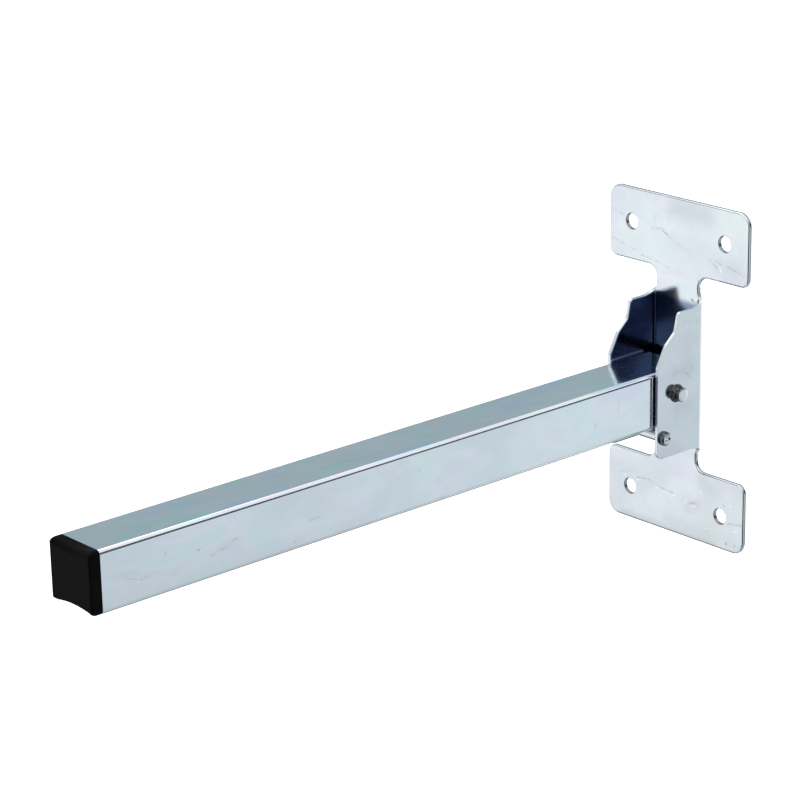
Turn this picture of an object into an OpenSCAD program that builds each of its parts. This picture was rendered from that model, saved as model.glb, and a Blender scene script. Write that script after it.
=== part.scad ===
// Folding table leg: a folded sheet bracket that is screwed to a surface, and a square
// tube leg that swings between the bracket's ears on a riveted pivot.
// The mounting face lies in the plane x = 0 and faces +X. The leg reaches along -X.
// The plane y = 0 is the middle between the ears, and z = 0 is half way up the plate.

/* [Sheet] */
// Thickness of the bracket's sheet
sheet_t = 1.8; // [1.2:0.1:2.5]
// Inside radius of the folds between plate and ears
fold_r = 1; // [0.5:0.1:2]

/* [Mounting plate] */
// Width of the plate across its heads
plate_w = 80; // [74:0.5:110]
// Height of the plate from end to end
plate_h = 151.5; // [145:0.5:220]
// Height of each head
head_h = 32; // [26:0.5:36]
// Radius of the heads' outer corners
head_outer_r = 6; // [2:0.5:10]
// Radius of the heads' corners beside the neck
head_inner_r = 4; // [1:0.5:8]
// Radius where the neck runs into the heads and into the folds
neck_r = 5; // [3:0.5:6]
// Diameter of the screw holes
screw_d = 7; // [4:0.1:9]
// Distance between the screw holes across the plate
screw_pitch = 53.5; // [45:0.5:60]
// Distance of the screw holes from the ends of the plate
screw_end = 15; // [10:0.5:18]

/* [Ears] */
// Reach of the ears from the mounting face
ear_reach = 28.7; // [27:0.1:34]
// Height of the ears
ear_h = 63; // [60:0.5:68]
// Height of the folds, where the ears leave the plate
fold_h = 64; // [63:0.5:68]
// Length over which an ear widens to the height of its fold
ear_flare = 4.5; // [3:0.1:6]
// Radius of the ears' lower front corners
ear_corner_r = 3.5; // [1:0.5:6]
// Depth below the ear's top at which the front edge starts to slope back
slope_depth = 22; // [18:0.5:26]
// Set-back of the first crest from the ear's front edge
crest_back = 4.9; // [3:0.1:7]
// Depth of the first crest below the ear's top
crest_depth = 12.9; // [11:0.1:15]
// Set-back of the trough from the ear's front edge
trough_back = 10.6; // [9:0.1:11.5]
// Depth of the trough below the ear's top
trough_depth = 8; // [6:0.1:9.5]
// Set-back of the ear's upper corner from its front edge
top_back = 12.4; // [12:0.1:14]

/* [Leg] */
// Side of the square tube
tube_side = 25; // [22:0.5:27]
// Wall of the tube
tube_wall = 1.5; // [1:0.1:2.5]
// Radius of the tube's outer corners
tube_r = 1.9; // [0.5:0.1:3]
// Reach of the tube's foot end from the mounting face
leg_reach = 315.5; // [150:0.5:700]
// Gap between the tube and each ear
ear_gap = 0.45; // [0.4:0.05:1]

/* [Pivot] */
// Distance of the pivot from the mounting face
pivot_reach = 17.1; // [16.5:0.1:18.5]
// Distance of the pivot below the middle of the plate
pivot_drop = 3.9; // [2:0.1:6]
// Height of the pivot above the middle of the tube
pivot_rise = 2.1; // [0:0.1:3]
// Diameter of the pivot rivet
rivet_d = 6; // [4:0.1:6.4]
// Width of the pivot rivet's heads
rivet_head_d = 10; // [8:0.1:12]
// Height of the pivot rivet's heads
rivet_head_h = 4; // [2:0.1:4.5]
// Outside diameter of the spacer sleeve
sleeve_d = 8; // [7:0.1:9.5]
// Outside diameter of the washers beside the tube
washer_d = 14; // [11:0.1:16]
// Thickness of the washers beside the tube
washer_t = 0.35; // [0.2:0.05:0.35]

/* [Stop pin] */
// Diameter of the stop pin between the ears
stop_d = 4; // [3.2:0.1:5]
// Diameter of the stop pin's ends in the ears
stop_end_d = 3; // [2:0.1:3]
// Distance of the stop pin in front of the pivot
stop_ahead = 7.3; // [5:0.1:7.5]
// Width of the stop pin's rolled heads
stop_head_d = 6.4; // [5.6:0.1:8]
// Height of the stop pin's rolled heads
stop_head_h = 2.2; // [1.2:0.1:2.6]
// Width of the dimple in each rolled head
dimple_d = 2.6; // [1:0.1:3]

/* [Foot cap] */
// Thickness of the cap's head
cap_t = 5; // [4:0.1:8]
// Rounding of the upper and lower edges of the cap's face
cap_edge_r = 3; // [1:0.1:3.8]
// Rounding of the upright edges of the cap's face
cap_side_r = 1; // [0.5:0.1:3]
// Depth to which the middle of the head's top and underside is sunk
cap_sink = 1; // [0.2:0.1:1.2]
// Length of the plug inside the tube
plug_l = 20; // [12:0.5:40]
// Wall of the plug
plug_wall = 1.6; // [1:0.1:3]
// Gap between the plug's body and the tube, which its fins bridge
plug_gap = 0.9; // [0.5:0.1:1.5]
// Thickness of a fin
fin_t = 1; // [0.6:0.1:1.5]
// Number of fins round the plug
fin_count = 4; // [2:1:5]

/* [Fits] */
// Running clearance round a turning part
run_fit = 0.05; // [0.02:0.01:0.1]
// Clearance round a fixed part in its hole
seat_fit = 0.05; // [0.02:0.01:0.1]
// Clearance between the plug's fins and the tube
fin_fit = 0.1; // [0.05:0.05:0.2]
// Clearance between the tube's swinging end and the plate
swing_gap = 1; // [0.5:0.1:2]
// Clearance between the tube's swinging end and the stop pin
pass_gap = 0.4; // [0.3:0.05:1]

/* [Hidden] */
$fn = 64;
arc_steps = 8;
rim_steps = 4;
over = 1;

// Across the ears
ear_in = tube_side / 2 + ear_gap;
ear_out = ear_in + sheet_t;
fold_out_r = fold_r + sheet_t;
neck_w = 2 * (ear_out - fold_out_r);
gap_h = plate_h - 2 * head_h;
ear_top = ear_h / 2;
fold_mid_r = fold_r + sheet_t / 2;
fold_rise = neck_r - sqrt(pow(neck_r, 2) - pow(neck_r - fold_mid_r, 2));

// The pivot and the tube round it
pivot_x = -pivot_reach;
pivot_z = -pivot_drop;
tube_z = pivot_z - pivot_rise;
tube_in = tube_side - 2 * tube_wall;
pivot_to_top = tube_side / 2 - pivot_rise;
pivot_to_low = tube_side / 2 + pivot_rise;

// The tube's end is cut so that its upper corner passes the plate as the leg swings up,
// and the stop pin lies just outside the path of its lower corner
pivot_to_plate = pivot_reach - sheet_t;
tail = sqrt(pow(pivot_to_plate - swing_gap, 2) - pow(pivot_to_top, 2));
tube_end_x = pivot_x + tail;
tube_l = leg_reach + tube_end_x;
sweep_r = sqrt(pow(tail, 2) + pow(pivot_to_low, 2));
stop_dist = sweep_r + pass_gap + stop_d / 2;
stop_x = pivot_x - stop_ahead;
stop_z = pivot_z - sqrt(pow(stop_dist, 2) - pow(stop_ahead, 2));

// Outline helpers
function unit(v) = v / norm(v);
function side_of(u, v) = sign(u[0] * v[1] - u[1] * v[0]);

// Points of the arc of radius r that rounds the corner b between its neighbours a and c
function arc_at(a, b, c, r) =
    let(
        u = unit(a - b),
        v = unit(c - b),
        half = acos(u * v) / 2,
        centre = b + unit(u + v) * r / sin(half),
        start = b + u * r / tan(half) - centre,
        turn = side_of(u, v) * -(180 - 2 * half),
        from = atan2(start[1], start[0])
    )
    [for (i = [0 : arc_steps]) centre + r * [cos(from + turn * i / arc_steps), sin(from + turn * i / arc_steps)]];

// An outline from corners [x, y, radius], where a radius of 0 keeps the corner sharp
function rounded(corners) =
    let(n = len(corners), p = [for (c = corners) [c[0], c[1]]])
    [for (i = [0 : n - 1])
        each corners[i][2] == 0 ? [p[i]] : arc_at(p[(i + n - 1) % n], p[i], p[(i + 1) % n], corners[i][2])];

// The corner left outside a rounding of radius r, for a corner at the origin that points up and right
module waste(r) {
    difference() {
        translate([-r, -r]) square(r + over);
        translate([-r, -r]) circle(r);
    }
}

// The web that fills an inside corner at the origin, which opens up and right
module web(r) {
    difference() {
        square(r);
        translate([r, r]) circle(r);
    }
}

module both_sides() {
    children();
    mirror([1, 0, 0]) children();
}

module soft_square(side, r) {
    square([side, side - 2 * r], center = true);
    square([side - 2 * r, side], center = true);
    for (a = [-1, 1], b = [-1, 1])
        translate([a * (side / 2 - r), b * (side / 2 - r)]) circle(r);
}

// A bar along X from x = from, with a soft square section
module soft_bar(from, length, side, r) {
    translate([from, 0, tube_z])
        rotate([90, 0, 90])
            linear_extrude(height = length) soft_square(side, r);
}

// A round bar along Y through the point x, z
module cross_bar(x, z, d, length) {
    translate([x, 0, z]) rotate([90, 0, 0]) cylinder(h = length, d = d, center = true);
}

// Stand a shape that points up on both outer faces of the ears
module on_ears(x, z) {
    for (side = [-1, 1])
        translate([x, side * ear_out, z]) rotate([-side * 90, 0, 0]) children();
}

// Upper head of the plate, drawn across and up, with the neck running into it
module head_outline() {
    difference() {
        translate([-plate_w / 2, gap_h / 2]) square([plate_w, head_h]);
        both_sides() {
            translate([plate_w / 2, plate_h / 2]) waste(head_outer_r);
            translate([plate_w / 2, gap_h / 2]) mirror([0, 1]) waste(head_inner_r);
        }
    }
    both_sides() translate([neck_w / 2, gap_h / 2]) mirror([0, 1]) web(neck_r);
}

module plate_outline() {
    head_outline();
    mirror([0, 1]) head_outline();
    square([neck_w, gap_h + 2 * over], center = true);
}

// Ear seen from the side, from the fold on the right to its front edge on the left
module ear_outline() {
    front = -ear_reach;
    fold = -fold_out_r;
    fold_top = fold_h / 2 + fold_rise;
    flare = fold - ear_flare;
    polygon(rounded([
        [fold, -fold_top, 0],
        [flare, -ear_top, ear_flare],
        [front, -ear_top, ear_corner_r],
        [front, ear_top - slope_depth, ear_corner_r],
        [front + crest_back, ear_top - crest_depth, ear_corner_r],
        [front + trough_back, ear_top - trough_depth, ear_corner_r],
        [front + top_back, ear_top, sheet_t],
        [flare, ear_top, ear_flare],
        [fold, fold_top, 0]
    ]));
}

// Height of the fold on the +Y side, drawn across and up: it runs out into the neck at both ends
module fold_outline() {
    translate([neck_w / 2, -fold_h / 2]) square([fold_out_r, fold_h]);
    for (end = [0, 1])
        mirror([0, end]) translate([neck_w / 2, fold_h / 2]) web(neck_r);
}

// One quarter turn of the sheet between the plate and the ear on the +Y side
module fold() {
    tall = fold_h + 2 * neck_r;
    intersection() {
        translate([-fold_out_r, neck_w / 2, 0])
            difference() {
                cylinder(h = tall, r = fold_out_r, center = true);
                cylinder(h = tall + over, r = fold_r, center = true);
            }
        rotate([90, 0, -90]) mirror([1, 0, 0]) linear_extrude(height = fold_out_r) fold_outline();
    }
}

module mounting_bracket() {
    color("gainsboro")
        difference() {
            union() {
                rotate([90, 0, -90]) linear_extrude(height = sheet_t) plate_outline();
                for (side = [0, 1])
                    mirror([0, side, 0]) {
                        fold();
                        translate([0, ear_out, 0])
                            rotate([90, 0, 0]) linear_extrude(height = sheet_t) ear_outline();
                    }
            }
            for (y = [-1, 1], z = [-1, 1])
                translate([-sheet_t / 2, y * screw_pitch / 2, z * (plate_h / 2 - screw_end)])
                    rotate([0, 90, 0]) cylinder(h = sheet_t + over, d = screw_d, center = true);
            cross_bar(pivot_x, pivot_z, rivet_d + 2 * seat_fit, 2 * ear_out + over);
            cross_bar(stop_x, stop_z, stop_end_d + 2 * seat_fit, 2 * ear_out + over);
        }
}

module leg_tube() {
    color("lightsteelblue")
        difference() {
            soft_bar(-leg_reach, tube_l, tube_side, tube_r);
            soft_bar(-leg_reach - over, tube_l + 2 * over, tube_in, max(tube_r - tube_wall, 0.3));
            cross_bar(pivot_x, pivot_z, sleeve_d + 2 * run_fit, tube_side + over);
        }
}

// Side view of the cap's head, with two edges of its face rounded to the radius r
module cap_profile(r) {
    translate([-leg_reach, 0])
        difference() {
            translate([-cap_t, -tube_side / 2]) square([cap_t, tube_side]);
            for (flip = [0, 1])
                mirror([0, flip]) translate([-cap_t, tube_side / 2]) mirror([1, 0]) waste(r);
        }
}

module cap_head() {
    tall = 2 * tube_side;
    flat = tube_side - 2 * tube_r;
    sink_r = (pow(flat / 2, 2) + pow(cap_sink, 2)) / (2 * cap_sink);
    difference() {
        intersection() {
            soft_bar(-leg_reach - cap_t, cap_t, tube_side, tube_r);
            translate([0, 0, tube_z])
                rotate([90, 0, 0]) linear_extrude(height = tall, center = true) cap_profile(cap_edge_r);
            translate([0, 0, tube_z]) linear_extrude(height = tall, center = true) cap_profile(cap_side_r);
        }
        for (side = [-1, 1])
            translate([-leg_reach - cap_t / 2, 0, tube_z + side * (tube_side / 2 - cap_sink + sink_r)])
                rotate([0, 90, 0]) cylinder(h = cap_t + over, r = sink_r, center = true);
    }
}

module foot_cap() {
    plug_side = tube_in - 2 * plug_gap;
    fin_side = tube_in - 2 * fin_fit;
    fin_step = plug_l / fin_count;
    color("#1c1c1c") {
        cap_head();
        difference() {
            union() {
                soft_bar(-leg_reach - over, plug_l + over, plug_side, plug_gap);
                for (i = [1 : fin_count])
                    soft_bar(-leg_reach + i * fin_step - fin_t, fin_t, fin_side, plug_gap);
            }
            soft_bar(-leg_reach, plug_l + over, plug_side - 2 * plug_wall, plug_gap);
        }
    }
}

// Domed head that stands on the plane z = 0
module round_head(d, h) {
    ball = (d * d / 4 + h * h) / (2 * h);
    intersection() {
        translate([0, 0, h - ball]) sphere(ball);
        translate([-d, -d, 0]) cube([2 * d, 2 * d, h + over]);
    }
}

// Head rolled over at its rim, with a dimple in the middle, that stands on the plane z = 0
module rolled_head(d, h, dimple) {
    rim = h / 2;
    rotate_extrude()
        polygon([
            [0, 0],
            [d / 2, 0],
            for (i = [0 : rim_steps])
                [d / 2 - rim, rim] + rim * [cos(90 * i / rim_steps), sin(90 * i / rim_steps)],
            [dimple / 2, h],
            [0, h - dimple / 3]
        ]);
}

module pivot_rivet() {
    color("silver") {
        cross_bar(pivot_x, pivot_z, rivet_d, 2 * ear_out + over);
        on_ears(pivot_x, pivot_z) round_head(rivet_head_d, rivet_head_h);
    }
}

module pivot_sleeve() {
    color("darkgray")
        difference() {
            cross_bar(pivot_x, pivot_z, sleeve_d, 2 * ear_in);
            cross_bar(pivot_x, pivot_z, rivet_d + 2 * seat_fit, 2 * ear_in + over);
        }
}

// Washer against the inner face of the ear on the given side
module washer(side) {
    y = side * (ear_in - washer_t / 2);
    color("whitesmoke")
        translate([0, y, 0])
            difference() {
                cross_bar(pivot_x, pivot_z, washer_d, washer_t);
                cross_bar(pivot_x, pivot_z, sleeve_d + 2 * seat_fit, washer_t + over);
            }
}

module near_washer() {
    washer(-1);
}

module far_washer() {
    washer(1);
}

module stop_pin() {
    color("silver") {
        cross_bar(stop_x, stop_z, stop_d, 2 * ear_in);
        cross_bar(stop_x, stop_z, stop_end_d, 2 * ear_out + over);
        on_ears(stop_x, stop_z) rolled_head(stop_head_d, stop_head_h, dimple_d);
    }
}

mounting_bracket();
leg_tube();
foot_cap();
pivot_rivet();
pivot_sleeve();
near_washer();
far_washer();
stop_pin();
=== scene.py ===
"""Looks of the folding table leg: finishes, pieces drawn finer than the solids, light and camera."""
import logging
import math
from collections.abc import Sequence
from dataclasses import dataclass
from enum import Enum

import bmesh
import bpy
from mathutils import Matrix, Vector
from mathutils.geometry import tessellate_polygon


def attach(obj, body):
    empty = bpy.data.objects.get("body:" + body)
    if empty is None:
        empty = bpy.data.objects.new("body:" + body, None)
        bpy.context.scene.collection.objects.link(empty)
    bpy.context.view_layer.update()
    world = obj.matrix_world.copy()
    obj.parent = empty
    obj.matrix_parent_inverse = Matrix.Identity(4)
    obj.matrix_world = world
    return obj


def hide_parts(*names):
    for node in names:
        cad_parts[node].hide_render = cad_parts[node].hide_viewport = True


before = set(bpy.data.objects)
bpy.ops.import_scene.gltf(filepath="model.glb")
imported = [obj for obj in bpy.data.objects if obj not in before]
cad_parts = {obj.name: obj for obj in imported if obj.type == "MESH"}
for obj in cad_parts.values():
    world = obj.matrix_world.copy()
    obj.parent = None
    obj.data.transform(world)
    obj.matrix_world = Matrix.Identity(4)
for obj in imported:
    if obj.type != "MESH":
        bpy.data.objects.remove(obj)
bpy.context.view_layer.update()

LOG = logging.getLogger("folding_leg")
TINT = (0.70, 0.735, 0.765)
TUBE_TINT = (0.815, 0.856, 0.891)
MM = 0.001

# Places and sizes of the part's source that several classes share, in millimetres. The pins' are (x, z).
PIVOT = (-17.1, -3.9)
STOP = (-24.4, -22.5)
SCREW_ACROSS = 53.5
SCREW_UP = 121.5
EAR_OUT = 14.75
SHEET_T = 1.8
TUBE_OUT = 12.5

# Keeps a mark with no length from a division by nothing, in square metres.
SHORTEST = 1e-10

Colour = tuple[float, float, float]
Point = tuple[float, float, float]
Corner = tuple[float, float, float]
Flat = tuple[float, float]


class Slot(Enum):
    """The record's material slots."""

    SHEET = "plated_sheet"
    PLASTIC = "black_plastic"
    STEEL = "bright_steel"


class Body(Enum):
    """The bodies that pieces ride on."""

    BRACKET = "bracket"
    LEG = "leg"


class Wire:
    """An output socket of a node, on which arithmetic adds Math nodes."""

    def __init__(self, tree: "NodeMaker", socket: bpy.types.NodeSocket) -> None:
        """Wraps a socket of the given tree.

        Args:
            tree: The maker that adds nodes to the socket's tree.
            socket: The output socket.
        """
        self.tree = tree
        self.socket = socket

    def _math(self, operation: str, *operands: "Wire | float") -> "Wire":
        """Adds one Math node.

        Args:
            operation: The node's operation.
            operands: The values of its sockets, in order.

        Returns:
            The node's result.
        """
        node = self.tree.add("ShaderNodeMath", {"operation": operation}, dict(enumerate(operands)))
        return Wire(self.tree, node.outputs[0])

    def __add__(self, other: "Wire | float") -> "Wire":
        """self + other."""
        return self._math("ADD", self, other)

    def __radd__(self, other: float) -> "Wire":
        """other + self."""
        return self._math("ADD", other, self)

    def __sub__(self, other: "Wire | float") -> "Wire":
        """self - other."""
        return self._math("SUBTRACT", self, other)

    def __rsub__(self, other: float) -> "Wire":
        """other - self."""
        return self._math("SUBTRACT", other, self)

    def __mul__(self, other: "Wire | float") -> "Wire":
        """self * other."""
        return self._math("MULTIPLY", self, other)

    def __rmul__(self, other: float) -> "Wire":
        """other * self."""
        return self._math("MULTIPLY", other, self)

    def clamped(self) -> "Wire":
        """The value held between 0 and 1."""
        return self._math("MAXIMUM", self._math("MINIMUM", self, 1.0), 0.0)

    def over(self, other: "Wire | float") -> "Wire":
        """The larger of the two."""
        return self._math("MAXIMUM", self, other)

    def size(self) -> "Wire":
        """The value without its sign."""
        return self._math("ABSOLUTE", self)

    def ramp(self, low: float, high: float) -> "Wire":
        """A soft step.

        Args:
            low: Where the step starts, at 0.
            high: Where it ends, at 1. It may lie below low, and the step then falls.

        Returns:
            The step's height.
        """
        share = ((self - low) * (1.0 / (high - low))).clamped()
        return share * share * (3.0 - 2.0 * share)

    def ramp_mm(self, low: float, high: float) -> "Wire":
        """A soft step between two lengths in millimetres."""
        return self.ramp(low * MM, high * MM)


class NodeMaker:
    """Adds nodes to one node tree."""

    def __init__(self, tree: bpy.types.NodeTree) -> None:
        """Takes an empty node tree."""
        self.tree = tree
        tree.nodes.clear()

    def add(self, kind: str, settings: dict[str, object], sockets: dict[object, object]) -> bpy.types.Node:
        """Adds a node.

        Args:
            kind: The node's type.
            settings: Properties, which are set first. "stops" is a ramp's list of (position, colour).
            sockets: Input by index, identifier or name, with its value, Wire or output socket.

        Returns:
            The node.
        """
        node = self.tree.nodes.new(kind)
        for key, value in settings.items():
            if key == "stops":
                self._set_stops(node.color_ramp, value)
            else:
                setattr(node, key, value)
        for key, value in sockets.items():
            target = self._input(node, key)
            if isinstance(value, Wire):
                self.tree.links.new(value.socket, target)
            elif isinstance(value, bpy.types.NodeSocket):
                self.tree.links.new(value, target)
            else:
                target.default_value = value
        return node

    @staticmethod
    def _set_stops(ramp: bpy.types.ColorRamp, stops: Sequence[tuple[float, Colour]]) -> None:
        """Gives a ramp its stops.

        Args:
            ramp: The ramp, with the two stops that a new one has.
            stops: Position and colour of each stop, from low to high.
        """
        for _ in stops[2:]:
            ramp.elements.new(0.5)
        for element, (position, colour) in zip(ramp.elements, stops):
            element.position = position
            element.color = (*colour, 1.0)

    @staticmethod
    def _input(node: bpy.types.Node, key: object) -> bpy.types.NodeSocket:
        """Finds an input socket.

        Args:
            node: The node.
            key: The socket's index, identifier or name.

        Returns:
            The socket.
        """
        if isinstance(key, int):
            return node.inputs[key]
        return next((s for s in node.inputs if s.identifier == key), None) or node.inputs[key]

    def wire(self, node: bpy.types.Node, output: object = 0) -> Wire:
        """Wraps one of a node's outputs, given by index or name."""
        return Wire(self, node.outputs[output])

    def place(self) -> Wire:
        """The point on the object, in its own frame, in metres."""
        return self.wire(self.add("ShaderNodeTexCoord", {}, {}), "Object")

    def axes(self, vector: Wire) -> tuple[Wire, Wire, Wire]:
        """Splits a vector into its three numbers."""
        node = self.add("ShaderNodeSeparateXYZ", {}, {0: vector})
        return self.wire(node, 0), self.wire(node, 1), self.wire(node, 2)

    def joined(self, x: "Wire | float", y: "Wire | float", z: "Wire | float") -> Wire:
        """A vector from three numbers."""
        return self.wire(self.add("ShaderNodeCombineXYZ", {}, {0: x, 1: y, 2: z}))

    def vector(self, operation: str, a: "Wire | Point", b: "Wire | Point", output: str = "Vector") -> Wire:
        """Adds a Vector Math node.

        Args:
            operation: The node's operation.
            a: Its first vector.
            b: Its second vector.
            output: "Vector", or "Value" where the result is a number.

        Returns:
            The result.
        """
        return self.wire(self.add("ShaderNodeVectorMath", {"operation": operation}, {0: a, 1: b}), output)

    def mix(
        self, share: "Wire | float", a: "Wire | Colour", b: "Wire | Colour", blend: str = "MIX"
    ) -> Wire:
        """Mixes two colours.

        Args:
            share: How much of b there is.
            a: The first colour.
            b: The second colour.
            blend: How the second goes over the first.

        Returns:
            The mixed colour.
        """
        full = [c if isinstance(c, Wire) else (*c, 1.0) for c in (a, b)]
        node = self.add(
            "ShaderNodeMix",
            {"data_type": "RGBA", "blend_type": blend},
            {"Factor_Float": share, "A_Color": full[0], "B_Color": full[1]},
        )
        return self.wire(node, 2)

    def tones(self, share: Wire, stops: Sequence[tuple[float, Colour]]) -> Wire:
        """A colour read from a ramp of stops, by a value from 0 to 1."""
        return self.wire(self.add("ShaderNodeValToRGB", {"stops": stops}, {"Fac": share}))

    def noise(
        self, place: Wire, scale: float, detail: float = 2.0, rough: float = 0.5, warp: float = 0.0
    ) -> Wire:
        """Soft random values from 0 to 1.

        Args:
            place: Where on the object.
            scale: Waves in a metre.
            detail: How many finer layers.
            rough: How strong those are.
            warp: How far the pattern is pulled about.

        Returns:
            The value.
        """
        node = self.add(
            "ShaderNodeTexNoise",
            {},
            {"Vector": place, "Scale": scale, "Detail": detail, "Roughness": rough, "Distortion": warp},
        )
        return self.wire(node, 0)

    def bump(self, height: Wire) -> Wire:
        """A surface normal from a height in metres."""
        sockets = {"Strength": 1.0, "Distance": 1.0, "Height": height}
        return self.wire(self.add("ShaderNodeBump", {}, sockets))


@dataclass(frozen=True)
class Stroke:
    """A straight mark on a surface, from one point to another, in millimetres."""

    start: Point
    end: Point
    width: float
    strength: float

    def mask(self, maker: NodeMaker, place: Wire) -> Wire:
        """How strong the mark is at a place.

        Args:
            maker: The material's node maker.
            place: The point on the object, in metres.

        Returns:
            From 0 off the mark to its strength on its line.
        """
        start = Vector(self.start) * MM
        along = Vector(self.end) * MM - start
        reach = max(along.length_squared, SHORTEST)
        offset = maker.vector("SUBTRACT", place, tuple(start))
        share = (maker.vector("DOT_PRODUCT", offset, tuple(along), "Value") * (1.0 / reach)).clamped()
        line = maker.joined(share * along.x, share * along.y, share * along.z)
        away = maker.vector("DISTANCE", offset, line, "Value")
        return away.ramp(self.width * MM, 0.0) * self.strength


def chain(points: Sequence[Point], width: float, strength: float) -> tuple[Stroke, ...]:
    """The marks that join some points in their order, in millimetres."""
    return tuple(Stroke(a, b, width, strength) for a, b in zip(points, points[1:]))


def across_plate(points: Sequence[Flat], width: float, strength: float) -> tuple[Stroke, ...]:
    """A broken line of marks on the plate's front, through points given as (y, z)."""
    return chain([(-SHEET_T, *point) for point in points], width, strength)


def along_side(
    points: Sequence[Flat], width: float, strength: float, out: float = EAR_OUT
) -> tuple[Stroke, ...]:
    """A broken line of marks through points given as (x, z), on a near face that lies out from the middle."""
    return chain([(x, -out, z) for x, z in points], width, strength)


SHEET_SCUFFS = (
    *across_plate(((38.3, 64.5), (35.0, 63.8), (31.6, 62.6)), 1.08, 0.29),
    *across_plate(((38.8, 51.4), (32.1, 50.0)), 0.94, 0.36),
    *across_plate(((27.3, 49.1), (24.3, 48.3)), 0.81, 0.36),
    *across_plate(((21.9, 47.0), (13.0, 46.1), (4.8, 44.2)), 0.74, 0.43),
    *across_plate(((15.0, 59.9), (8.0, 60.8)), 0.94, 0.32),
    *across_plate(((13.3, 66.0), (13.2, 61.6)), 0.68, 0.25),
    *across_plate(((8.5, 59.8), (5.6, 58.6)), 0.81, 0.65),
    *across_plate(((5.6, 58.6), (0.9, 56.0), (-7.2, 53.6)), 0.68, 0.40),
    *across_plate(((-22.0, 52.7), (-25.4, 51.6)), 0.81, 0.72),
    *across_plate(((-28.8, 51.4), (-33.3, 50.1)), 0.81, 0.72),
    *across_plate(((-18.6, 52.4), (-22.6, 49.7)), 0.94, 0.36),
    *across_plate(((-33.8, 50.2), (-38.3, 49.0)), 0.81, 0.32),
    *across_plate(((33.0, -55.5), (29.5, -54.2), (26.2, -53.7)), 0.68, 0.32),
    *across_plate(((22.5, -55.6), (15.9, -54.7), (11.0, -56.3), (6.2, -56.9), (0.8, -57.3)), 0.68, 0.58),
    *across_plate(((-8.8, -59.4), (-13.5, -58.6)), 0.74, 0.72),
    *across_plate(((-31.0, -63.5), (-33.3, -62.4)), 0.81, 0.58),
    *across_plate(((-34.5, -62.5), (-39.6, -61.6)), 0.81, 0.72),
    *across_plate(((-30.6, -72.4), (-30.8, -72.4)), 1.35, 0.72),
    *across_plate(((-35.1, -72.0), (-35.5, -72.0)), 0.94, 0.58),
    *across_plate(((-19.5, -69.6), (-19.7, -69.2)), 0.81, 0.65),
    *across_plate(((-29.1, -55.3), (-29.5, -55.8)), 0.94, 0.43),
    *along_side(((-19.4, 4.7), (-16.4, 5.4), (-12.7, 4.5), (-10.1, 3.0), (-7.6, 0.2)), 0.81, 0.43),
    *along_side(((-13.3, 7.3), (-12.7, 5.4)), 0.81, 0.36),
    *along_side(((-7.7, 6.9), (-8.3, 4.4)), 0.81, 0.36),
    *along_side(((-16.4, 1.8), (-16.0, 1.6)), 0.81, 0.36),
    *along_side(((-13.1, 27.2), (-4.4, 25.3)), 2.16, 0.18),
    *along_side(((-16.7, -9.3), (-17.2, -18.2)), 1.08, 0.14),
)
# Dark lines of painted shade and painted reflection along the plate's edges, its necks and the start of a
# fold.
SHEET_SHADE_LINES = (
    *across_plate(((35.5, -75.6), (-35.5, -75.6)), 1.1, 1.0),
    *across_plate(((-35.5, -75.5), (-38.6, -74.0), (-39.6, -71.0)), 0.7, 0.5),
    *across_plate(((36.5, 44.1), (17.5, 44.1)), 0.5, 0.35),
    *across_plate(((-17.5, 44.1), (-36.5, 44.1)), 0.5, 0.45),
    *across_plate(((-12.4, 42.0), (-12.2, 35.0)), 0.5, 0.5),
    *across_plate(((-12.2, -35.0), (-12.4, -41.0), (-14.0, -43.6), (-17.0, -44.1)), 0.5, 0.45),
    Stroke((-1.9, -8.6, 33.0), (-2.4, -10.9, 31.7), 0.75, 0.8),
    Stroke((-2.4, -10.9, 31.7), (-2.0, -12.8, 33.6), 0.75, 0.9),
)
# Soft darker patches; the one along the lower head's bottom makes the plate darker towards its bottom edge.
SHEET_PATCHES = (
    *across_plate(((0.0, 71.5), (-16.0, 71.0)), 10.0, 0.55),
    *across_plate(((-24.0, 52.0), (-36.0, 50.0)), 9.0, 0.30),
    *across_plate(((-17.0, -47.0), (-23.0, -50.0)), 7.0, 0.30),
    *across_plate(((2.0, -72.0), (-20.0, -72.0)), 9.0, 0.30),
    *across_plate(((30.0, -76.5), (-22.0, -76.5)), 6.0, 0.75),
    *across_plate(((-8.0, -60.0), (-12.0, -60.0)), 7.0, 0.30),
    *along_side(((-17.5, 5.0), (-10.0, 5.0)), 6.0, 0.28),
    *along_side(((-17.5, -12.0), (-10.0, -12.0)), 6.0, 0.22),
)
TUBE_SCUFFS = (
    *along_side(((-271.1, -5.4), (-271.5, -5.4)), 0.9, 0.8, TUBE_OUT),
    *along_side(((-252.8, -5.6), (-256.0, -6.4)), 0.6, 0.8, TUBE_OUT),
    *along_side(((-257.5, -7.8), (-262.0, -8.4), (-266.0, -9.6)), 0.7, 0.45, TUBE_OUT),
    *along_side(((-286.6, -2.5), (-287.0, -3.0)), 0.8, 0.7, TUBE_OUT),
    *along_side(((-224.5, 1.9), (-224.8, 1.8)), 0.6, 0.8, TUBE_OUT),
    *along_side(((-225.6, -14.8), (-226.0, -14.9)), 0.5, 0.7, TUBE_OUT),
    *along_side(((-294.0, -9.3), (-298.0, -9.8), (-303.0, -7.9), (-305.4, -6.9)), 0.7, 0.4, TUBE_OUT),
    *along_side(((-213.1, -8.0), (-218.2, -8.1)), 0.7, 0.4, TUBE_OUT),
    *along_side(((-49.7, -0.8), (-50.4, -4.4)), 0.5, 0.6, TUBE_OUT),
    *along_side(((-63.2, -7.2), (-64.8, -8.8)), 0.5, 0.6, TUBE_OUT),
    *along_side(((-161.3, -2.2), (-162.4, -2.6)), 0.5, 0.4, TUBE_OUT),
)
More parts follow.
